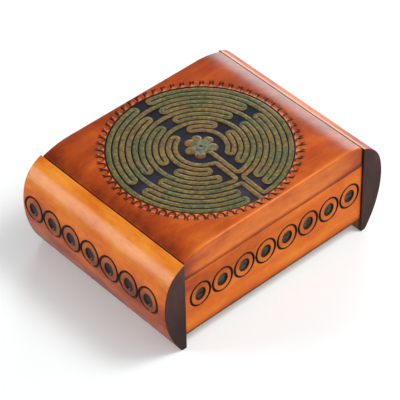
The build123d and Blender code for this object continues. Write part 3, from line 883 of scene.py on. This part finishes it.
def bend(middle, start, end, steps):
    """Points on an arc about a middle from start to end, the short way round."""
    middle, start, end = (np.asarray(p) for p in (middle, start, end))
    first = math.atan2(*(start - middle)[::-1])
    sweep = (math.atan2(*(end - middle)[::-1]) - first + math.pi) % (2 * math.pi) - math.pi
    turns = first + sweep * np.linspace(0, 1, steps + 1)
    return middle + np.linalg.norm(start - middle) * np.column_stack([np.cos(turns), np.sin(turns)])


def column_corner(side, circuit, outside):
    """The rounded corner where a circuit meets a column beside the front axis.

    Side is -1 left and 1 right, and outside says that the column lies nearer the rim.
    """
    radius = circuit_radius(circuit)
    x = side * (circuit_width / 2 + corner_radius) - axis_shifts[0]
    middle_radius = radius + corner_radius * (1 if outside else -1)
    middle = np.array([x, -math.sqrt(middle_radius ** 2 - x ** 2)])
    on_column = np.array([side * circuit_width / 2 - axis_shifts[0], middle[1]])
    on_circuit = middle * radius / middle_radius
    return bend(middle, on_column, on_circuit, turn_steps)


def turn_middle(circuits, quarter, way):
    """Angle to the middle of the turn between two circuits, which ends a walk up to an axis."""
    reach = (circuit_width + path_width) / 2
    away = circuit_width + entry_tip_gap + reach if quarter in (0, 4) else turn_tip_gap + reach
    middle_radius = sum(circuit_radius(c) for c in circuits) / 2
    return quarter * math.pi / 2 + math.asin((axis_shifts[quarter] - way * away) / middle_radius)


def labyrinth_path():
    """Points along the middle of the whole path, from the front edge to the rosette."""
    entry = column_corner(-1, walk[0][0], True)
    path = [[(entry[0][0], rim_play - field_radius), *entry]]
    start_turn = math.atan2(-entry[-1][0], -entry[-1][1])
    for i, (circuit, start, end) in enumerate(walk):
        way = 1 if end > start else -1
        radius = circuit_radius(circuit)
        following = walk[i + 1][0] if i + 1 < len(walk) else None
        if following and abs(following - circuit) == 1:
            end_turn = turn_middle((circuit, following), end, way)
            middle_radius = (radius + circuit_radius(following)) / 2
            middle = polar(middle_radius, end_turn)
            onwards = np.array([-math.cos(end_turn), math.sin(end_turn)]) * way
            tip = middle + onwards * circuit_width / 2
            link = [*bend(middle, polar(radius, end_turn), tip, turn_steps // 2),
                    *bend(middle, tip, polar(circuit_radius(following), end_turn), turn_steps // 2)[1:]]
            next_turn = end_turn
        else:
            side = -1 if end == 0 else 1
            leaving = column_corner(side, circuit, following is not None and following < circuit)[::-1]
            end_turn = math.atan2(-leaving[0][0], -leaving[0][1]) % (2 * math.pi)
            link = [*leaving]
            if following:
                arriving = column_corner(side, following, following > circuit)
                link += [*arriving]
                next_turn = math.atan2(-arriving[-1][0], -arriving[-1][1]) % (2 * math.pi)
            else:
                link.append((circuit_width / 2 - axis_shifts[0], path_end_depth - rosette_heart_radius))
        turns = spaced(start_turn, end_turn, path_step / radius)
        path.append([polar(radius, t) for t in turns[1:-1]])
        path.append(link)
        start_turn = next_turn
    path = np.array([p for stretch in path for p in stretch])
    share = np.linalg.norm(path, axis=1)[:, None] / field_radius
    return path + heart_middle + (np.array(field_middle.xy) - heart_middle) * share


def make_path_tree():
    """Runs a crowned bar of wood along the path, laid on the curve of the lid's top."""
    tree, given = new_tree("carved_path", {
        "Path Width": length, "Half Height": length, "Squareness": ("Float", 0.5),
        "Flat Half": length, "Shoulder Radius": length, "Lid Top": length, "Ripple": length,
        "Path Paint": finish_input})
    route = result(tree, "GeometryNodeMeshToCurve", {"Mesh": given["Geometry"]})
    route = result(tree, "GeometryNodeSetCurveNormal", {"Curve": route}, mode="Z_UP")
    route = store(route, "along", result(tree, "GeometryNodeSplineParameter", output="Length"))
    place = result(tree, "GeometryNodeInputPosition")
    x, y, z = axes_of(place)
    # The bar's section: a circle drawn out towards a rectangle, so that its back is crowned
    squared = [calc("SIGN", axis) * calc("POWER", abs(axis), given["Squareness"]) for axis in (x, y)]
    section = joined_axes(squared[0] * given["Path Width"] * 0.5, squared[1] * given["Half Height"])
    ring = result(tree, "GeometryNodeCurvePrimitiveCircle", {"Resolution": path_sides, "Radius": 1.0})
    ring = store(ring, "across", squared[0])
    ring = result(tree, "GeometryNodeSetPosition", {"Geometry": ring, "Position": section})
    path = result(tree, "GeometryNodeCurveToMesh", {
        "Curve": route, "Profile Curve": ring, "Fill Caps": True})
    # Laid on the lid's curve, with knife marks as a slight ripple
    over = largest(abs(x) - given["Flat Half"], 0.0)
    shoulder = given["Shoulder Radius"]
    drop = calc("SQRT", shoulder * shoulder - over * over) - shoulder
    waves = result(tree, "ShaderNodeTexNoise", {"Vector": place, "Scale": knife_marks, "Detail": 1.0}, "Fac")
    ripple = (waves - 0.85) * given["Ripple"]
    laid = joined_axes(x, y, z + drop + given["Lid Top"] + ripple - given["Half Height"])
    path = result(tree, "GeometryNodeSetPosition", {"Geometry": path, "Position": laid})
    path = result(tree, "GeometryNodeSetShadeSmooth", {"Geometry": path})
    end_tree(path, given["Path Paint"])
    return tree


def make_olive_paint():
    """Matt olive and grey-green paint over the wood, ochre near the middle, worn pale on its edges, partly as
    a painted highlight.
    """
    material, tree, shader = new_material("olive_paint", 0.5, 0.3, 0.18, gloss=0.15)
    clouds = fade(pattern(tree, [clouds_of_paint] * 3), 0.38, 0.62)
    specks = pattern(tree, [specks_of_paint] * 3, 4.0, 0.7)
    x, y, _ = axes_of(object_place(tree))
    radius = distance(x, y)
    by_entry = fade(abs(x), 9 * mm, 3 * mm) * fade(y, -8 * mm, -16 * mm)
    ochre = largest(fade(radius, 34 * mm, 12 * mm) * 0.8, by_entry)
    edge = abs(attribute(tree, "across"))
    # Pale worn edges, partly a painted highlight along the path's rims
    rubbed_and_highlight = fade(edge, 0.72, 0.88) * fade(specks, 0.42, 0.6)
    colour = blend(clouds, srgb(112, 93, 38), srgb(80, 88, 43))
    for share, paint in ((ochre, srgb(124, 93, 38)),
                         (fade(radius, 8.0 * mm, 4.5 * mm), srgb(104, 110, 82)),
                         (fade(specks, 0.54, 0.36) * 0.7, srgb(50, 46, 30)),
                         (fade(specks, 0.56, 0.68) * 0.45, srgb(158, 148, 100)),
                         (fade(attribute(tree, "dot"), 0.2, 0.8), srgb(40, 36, 30)),
                         (rubbed_and_highlight * 0.4, srgb(184, 164, 132)),
                         (fade(edge, 0.86, 0.95), srgb(96, 56, 28))):
        colour = blend(share, colour, paint)
    plug(shader.inputs["Base Color"], colour)
    strokes = calc("SINE", attribute(tree, "along") * (2 * math.pi / stroke_pitch))
    add_bump(shader, strokes * 0.25 + specks, 0.6, 0.12 * mm)
    return material


olive_paint = make_olive_paint()
route = labyrinth_path()
route_mesh = bpy.data.meshes.new("labyrinth_path")
route_links = [(i, i + 1) for i in range(len(route) - 1)]
route_mesh.from_pydata([(x, y, 0) for x, y in route.tolist()], route_links, [])
path = run_tree(new_piece("labyrinth_path", route_mesh), make_path_tree(), {
    "Path Width": path_width, "Half Height": path_half_height, "Squareness": path_squareness,
    "Flat Half": flat_half, "Shoulder Radius": shoulder_radius, "Lid Top": lid_high.z,
    "Ripple": path_ripple, "Path Paint": olive_paint})
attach(path, "lid")


def rosette_reach(turns):
    """How far the rosette reaches at each turn: its round heart and six round petals."""
    reach = np.full(len(turns), rosette_heart_radius)
    for petal in rosette_petal_turns:
        aside = rosette_petal_middle * np.sin(turns - petal)
        ahead = rosette_petal_middle * np.cos(turns - petal)
        tip = ahead + np.sqrt(np.maximum(rosette_petal_radius ** 2 - aside ** 2, 0))
        in_petal = (np.abs(aside) < rosette_petal_radius) & (ahead > 0)
        reach = np.where(in_petal, np.maximum(reach, tip), reach)
    return reach


def rosette_mesh():
    """The rosette, with its petals crowned, a groove between each two and a dot in the middle."""
    turns = np.linspace(0, 2 * math.pi, rosette_columns, endpoint=False)
    reach = rosette_reach(turns)
    rows, edges = [], []
    for share, drop in (*((share, 0) for share in rosette_shares), *rosette_edge):
        radius = reach * share
        x, y = radius * np.sin(turns), -radius * np.cos(turns)
        crowns = [np.hypot(x - rosette_petal_middle * math.sin(t), y + rosette_petal_middle * math.cos(t))
                  for t in rosette_petal_turns]
        off_petal = np.minimum.reduce(crowns) / rosette_petal_radius
        dip = (petal_groove_depth * np.clip(off_petal - 0.55, 0, 0.6)
               * np.clip(radius / rosette_heart_radius - 0.4, 0, 1))
        dot_dip = dot_depth * near(radius, 0, dot_radius)
        rows.append(np.column_stack([x + rosette_middle[0], y + rosette_middle[1],
                                     lid_high.z - rosette_below_top - dip - dot_dip - drop * mm]))
        between = np.where(radius > petal_groove_start, np.clip(off_petal, 0, 1), 0)
        edges.append(np.maximum(0.7 * share if share < 0.94 else 1.0, between))
    piece = lofted("labyrinth_rosette", rows)
    x, y, _ = points_of(piece)
    from_middle = np.hypot(x - rosette_middle[0], y - rosette_middle[1])
    keep_value(piece, "across", np.concatenate(edges))
    keep_value(piece, "along", np.hypot(x, y))
    keep_value(piece, "dot", near(from_middle, 0, dot_paint_radius))
    piece.data.materials.append(olive_paint)
    return piece


rosette = rosette_mesh()
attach(rosette, "lid")

# Cheeks
# D-shaped blocks of lime wood, planed round along the grain and stained yellower than the lid.
# Their cut ends are dyed chocolate brown. A dovetail groove in the flat face runs on the rail.
cheek_low, cheek_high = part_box("right_cheek")
cheek_face_x = cheek_low.x
bulge_height = 36.5 * mm
bulge_radius = 45.0 * mm
bulge_angle = math.radians(15)
foot_width = 3.4 * mm
cheek_edge_round = 0.3 * mm
cheek_corner_round = 0.7 * mm
cheek_ring_count = 7
cheek_ring_radius = 7.2 * mm
cheek_ring_shift = 2.1 * mm
cheek_travel = 37.0 * mm
groove_run_out = 1.0 * mm
groove_play = 0.15 * mm
groove_depth = 5.0 * mm
rail_flare = 2.0 * mm
pin_play = 0.2 * mm
cheek_disc_burn = 0.4
# The painted shade on the cheek's flat face near each end, and how far it reaches
end_shade_darkness = 0.8
end_shade_reach = 3.0 * mm


def arc(middle, radius, first, last, step):
    """Points on an arc between two angles, in radians."""
    turns = spaced(first, last, step / radius)
    return [np.array([middle[0] + radius * math.cos(t), middle[1] + radius * math.sin(t)]) for t in turns]


def cheek_outline():
    """The cheek's section: foot, flank, bulge and crown, up to the ridge beside the lid."""
    bulge = np.array([cheek_high.x, bulge_height])
    across = bulge[0] - cheek_face_x - foot_width
    flank_radius = (across ** 2 + bulge_height ** 2) / (2 * across)
    flank_middle = bulge - (flank_radius, 0)
    side_middle = bulge - (bulge_radius, 0)
    fine_turn = math.asin(ring_zone / flank_radius)
    points = arc(flank_middle, flank_radius, -math.asin(bulge_height / flank_radius), -fine_turn, plain_step)
    points += arc(flank_middle, flank_radius, -fine_turn, 0, fine_step)[1:]
    points += arc(side_middle, bulge_radius, 0, bulge_angle, fine_step)[1:]
    out = np.array([math.cos(bulge_angle), math.sin(bulge_angle)])
    ridge = np.array([cheek_face_x, cheek_high.z])
    chord = points[-1] - ridge
    crown_radius = chord @ chord / (2 * chord @ out)
    crown_middle = points[-1] - crown_radius * out
    crown_end = math.atan2(*(ridge - crown_middle)[::-1])
    points += arc(crown_middle, crown_radius, bulge_angle, crown_end, plain_step / 2)[1:]
    foot = (cheek_face_x, 0.0)
    return np.array([*rounded_corner(foot, points[0], points[1], cheek_corner_round), *points[1:-1],
                     *rounded_corner(points[-2], ridge, foot, cheek_corner_round),
                     *rounded_corner(ridge, foot, points[0], cheek_corner_round)])


def shrunk(outline, inset):
    """A closed outline drawn in by an inset all round."""
    edges = np.roll(outline, -1, axis=0) - outline
    normals = np.column_stack([-edges[:, 1], edges[:, 0]]) / np.linalg.norm(edges, axis=1)[:, None]
    joined = normals + np.roll(normals, 1, axis=0)
    return outline + joined * (inset * 2 / np.maximum(np.sum(joined ** 2, axis=1), 1))[:, None]


cheek_section = cheek_outline()
end_insets = [(cheek_edge_round * (1 - math.sin(t)), cheek_edge_round * (1 - math.cos(t)))
              for t in np.radians([0, 30, 60])]
straight = spaced(cheek_low.y + cheek_edge_round, cheek_high.y - cheek_edge_round, fine_step)
cheek_rows = ([(inset, cheek_low.y + back) for inset, back in end_insets]
              + [(0, y) for y in straight]
              + [(inset, cheek_high.y - back) for inset, back in end_insets[::-1]])
cheek_wood = wood("yellow_stained_wood", srgb(128, 41, 12), srgb(216, 106, 26), srgb(248, 164, 58), Y,
                  0.42, 0.36, 0.19, 0.75, paint=srgb(16, 18, 13))
end_grain = wood("chocolate_cut_end", srgb(44, 24, 22), srgb(70, 42, 38), srgb(94, 66, 60), Z,
                 0.5, 0.2, 0.3)


def cheek_cutters(side):
    """The dovetail groove and the slot of the stop pin, in the flat face of one cheek."""
    name = "right" if side > 0 else "left"
    rail_low, rail_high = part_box(name + "_rail")
    pin_low, pin_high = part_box(name + "_stop_pin")
    middle = (rail_low.z + rail_high.z) / 2
    tip = (rail_high.z - rail_low.z) / 2 + groove_play
    root = tip - rail_flare
    xs = [side * x for x in (cheek_face_x - beyond, cheek_face_x, cheek_face_x + groove_depth)]
    section = [(xs[0], middle - root), (xs[1], middle - root), (xs[2], middle - tip),
               (xs[2], middle + tip), (xs[1], middle + root), (xs[0], middle + root)]
    pin_end = max(abs(pin_low.x), abs(pin_high.x)) + pin_play
    slot_xs = sorted((xs[0], side * pin_end))
    return [bar(section, Y, rail_low.y - cheek_travel - groove_run_out, cheek_high.y + beyond),
            block((slot_xs[0], pin_low.y - cheek_travel - pin_play, pin_low.z - pin_play),
                  (slot_xs[1], pin_high.y + pin_play, pin_high.z + pin_play))]


# crown is painted light on each cheek's crown, paler on the left and darker on the right
for side, name, crown in ((-1, "left_cheek", 0.1), (1, "right_cheek", -0.2)):
    rows = []
    for inset, y in cheek_rows:
        section = shrunk(cheek_section, inset)
        rows.append(np.column_stack([section[:, 0] * side, np.full(len(section), y), section[:, 1]]))
    cheek = run_tree(cut(lofted(name + "_wood", rows), cheek_cutters(side)), ring_row, {
        **ring_sizes, "Row Direction": (0.0, 1.0, 0.0), "Face Direction": (float(side), 0.0, 0.0),
        "Ring Count": float(cheek_ring_count), "Ring Radius": cheek_ring_radius,
        "Row Shift": cheek_ring_shift, "Row Height": bulge_height, "Disc Burn": cheek_disc_burn,
        "Face Wood": cheek_wood, "End Wood": end_grain, "Inner Wood": wall_wood})
    crisp(cheek)
    x, y, z = points_of(cheek)
    # Painted light and shade: the crown paler on the left and darker on the right, the flank darker towards
    # the foot where it faces down, and the ring row browner
    keep_value(cheek, "shade", 0.02 + crown * near(z, 60 * mm, 12 * mm)
               - 0.42 * near(z, 4 * mm, 27 * mm)
               - 0.14 * near(z, 34 * mm, 8 * mm))
    # Painted shade on the flat face near each end, in the gap beside the panel
    inner_face = np.abs(x) < cheek_face_x + 0.1 * mm
    end_shade = end_shade_darkness * inner_face * near(np.abs(y), cheek_high.y, end_shade_reach)
    keep_value(cheek, "burn", np.maximum(kept_value(cheek, "burn"), end_shade))
    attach(cheek, name)
    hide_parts(name)

# Studio
# A pale floor that keeps the object's soft shadow, a wide lamp high on the right in front, two
# bright panels low behind the object that the varnish mirrors, and a camera with a long lens.
camera_target = Vector((-1.53, 1.28, 26.6)) * mm
camera_distance = 1279.9 * mm
camera_azimuth = math.radians(-41.317)
camera_elevation = math.radians(42.967)
camera_roll = math.radians(-1.2066)
camera_lens = 204.81
camera_film_width = 36.0
floor_half = 4.0              # metres, as are the lamp's distance and size
lamp_direction = Vector((0.4, -0.36, 0.84)).normalized()
lamp_distance = 1.4
lamp_size = 0.5
lamp_power = 11.4
paper_glow = 0.14
paper_brightness = 1.4
sky_low = 0.32
sky_rise = 0.85               # towards the camera
sky_left_dimming = 0.75
left_panel_power = 9.5
right_panel_power = 10.0

back = Vector((math.sin(camera_azimuth) * math.cos(camera_elevation),
               -math.cos(camera_azimuth) * math.cos(camera_elevation), math.sin(camera_elevation)))
right = Vector((math.cos(camera_azimuth), math.sin(camera_azimuth), 0))
up = back.cross(right)
tilted_right = math.cos(camera_roll) * right + math.sin(camera_roll) * up
tilted_up = math.cos(camera_roll) * up - math.sin(camera_roll) * right
camera = bpy.data.objects.new("camera", bpy.data.cameras.new("camera"))
bpy.context.scene.collection.objects.link(camera)
camera.data.lens = camera_lens
camera.data.sensor_width = camera_film_width
turned = Matrix((tilted_right, tilted_up, back)).transposed().to_4x4()
camera.matrix_world = Matrix.Translation(camera_target + back * camera_distance) @ turned
bpy.context.scene.camera = camera

floor_mesh = bpy.data.meshes.new("floor")
floor_mesh.from_pydata([(-floor_half, -floor_half, 0), (floor_half, -floor_half, 0),
                        (floor_half, floor_half, 0), (-floor_half, floor_half, 0)], [], [(0, 1, 2, 3)])
floor = new_piece("floor", floor_mesh)


def seen_by(tree, *kinds):
    """1 for what rays of these kinds see, and 0 for what lights the object."""
    rays = add_node(tree, "ShaderNodeLightPath").outputs
    return largest(*(Signal(rays[f"Is {kind} Ray"]) for kind in kinds))


floor_paper, tree, shader = new_material("white_paper", 0.9, gloss=0.0)
shader.inputs["Base Color"].default_value = srgb(242, 247, 248)
white = result(tree, "ShaderNodeEmission", {"Color": (1, 1, 1, 1), "Strength": paper_brightness})
share = seen_by(tree, "Camera", "Glossy", "Transmission") * paper_glow
mixed = result(tree, "ShaderNodeMixShader", {0: share, 1: Signal(shader.outputs[0]), 2: white})
plug(tree.nodes["Material Output"].inputs["Surface"], mixed)
floor_mesh.materials.append(floor_paper)

lamp = bpy.data.objects.new("key_lamp", bpy.data.lights.new("key_lamp", "AREA"))
bpy.context.scene.collection.objects.link(lamp)
lamp.data.size = lamp_size
lamp.data.energy = lamp_power
lamp.location = lamp_direction * lamp_distance
lamp.rotation_euler = lamp_direction.to_track_quat("Z", "Y").to_euler()

world = bpy.data.worlds.new("studio")
bpy.context.scene.world = world
world.use_nodes = True
tree = world.node_tree
background = tree.nodes["Background"]
from_right, from_back, height = axes_of(result(tree, "ShaderNodeTexCoord", output="Generated"))
# The panels' edges, as shares of a direction along each axis
behind = fade(from_back, 0.34, 0.48) * fade(from_back, 0.78, 0.64)
left_panel = fade(height, 0.58, 0.5) * fade(height, -0.1, 0.25) * fade(from_right, -0.3, -0.5)
right_panel = fade(height, 0.5, 0.28) * fade(from_right, 0.3, 0.6)
room = ((fade(from_back, 0.1, -0.6) * sky_rise + sky_low)
        * (fade(from_right, 0.1, -0.5) * -sky_left_dimming + 1.0))
sky = (left_panel * left_panel_power + right_panel * right_panel_power) * behind + room
plug(background.inputs["Strength"], largest(sky, seen_by(tree, "Camera")))
background.inputs["Color"].default_value = (1, 1, 1, 1)
bpy.context.scene.view_settings.view_transform = "Standard"
